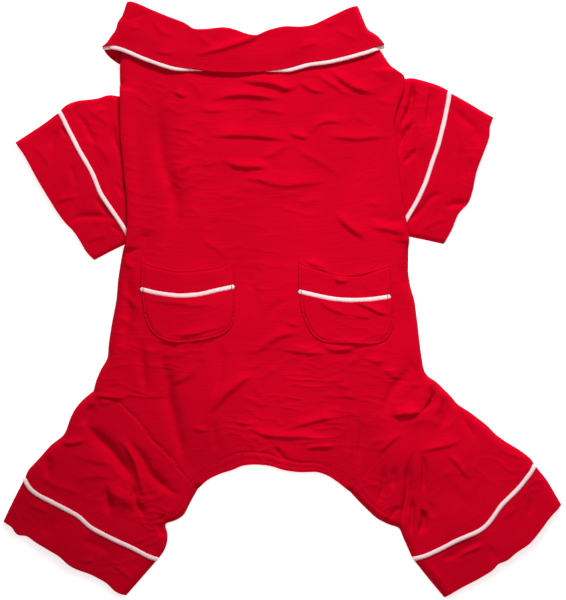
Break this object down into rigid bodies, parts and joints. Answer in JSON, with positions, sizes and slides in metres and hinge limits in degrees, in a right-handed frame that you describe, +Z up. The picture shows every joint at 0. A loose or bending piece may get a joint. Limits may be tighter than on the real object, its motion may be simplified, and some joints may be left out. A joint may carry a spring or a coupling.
{
  "type": "dog jumpsuit",
  "caption": "Small dog's pyjama jumpsuit in plain red jersey with white piping, lying flat with its back up: turned-down collar, cuffed legs and sleeves, patch pockets.",
  "frame": {"origin": "middle of the garment's outline, on the surface that it lies on", "axes": "+Z up, out of the garment's back; +Y towards the collar; +X towards the right sleeve as the garment lies with its back up"},
  "size_m": [0.3638, 0.3879, 0.0166],
  "materials": {
    "jersey": "matte knitted jersey",
    "piping": "soft matte covered cord"
  },
  "bodies": {
    "root": {"back_panel": "jersey", "belly_panel": "jersey", "collar": "jersey", "leg_left": "jersey", "leg_right": "jersey", "leg_cuff_left": "jersey", "leg_cuff_right": "jersey", "sleeve_left": "jersey", "sleeve_right": "jersey", "sleeve_cuff_left": "jersey", "sleeve_cuff_right": "jersey", "pocket_left": "jersey", "pocket_right": "jersey", "pocket_band_left": "jersey", "pocket_band_right": "jersey", "collar_piping": "piping", "leg_piping_left": "piping", "leg_piping_right": "piping", "sleeve_piping_left": "piping", "sleeve_piping_right": "piping", "pocket_piping_left": "piping", "pocket_piping_right": "piping"}
  },
  "joints": []
}
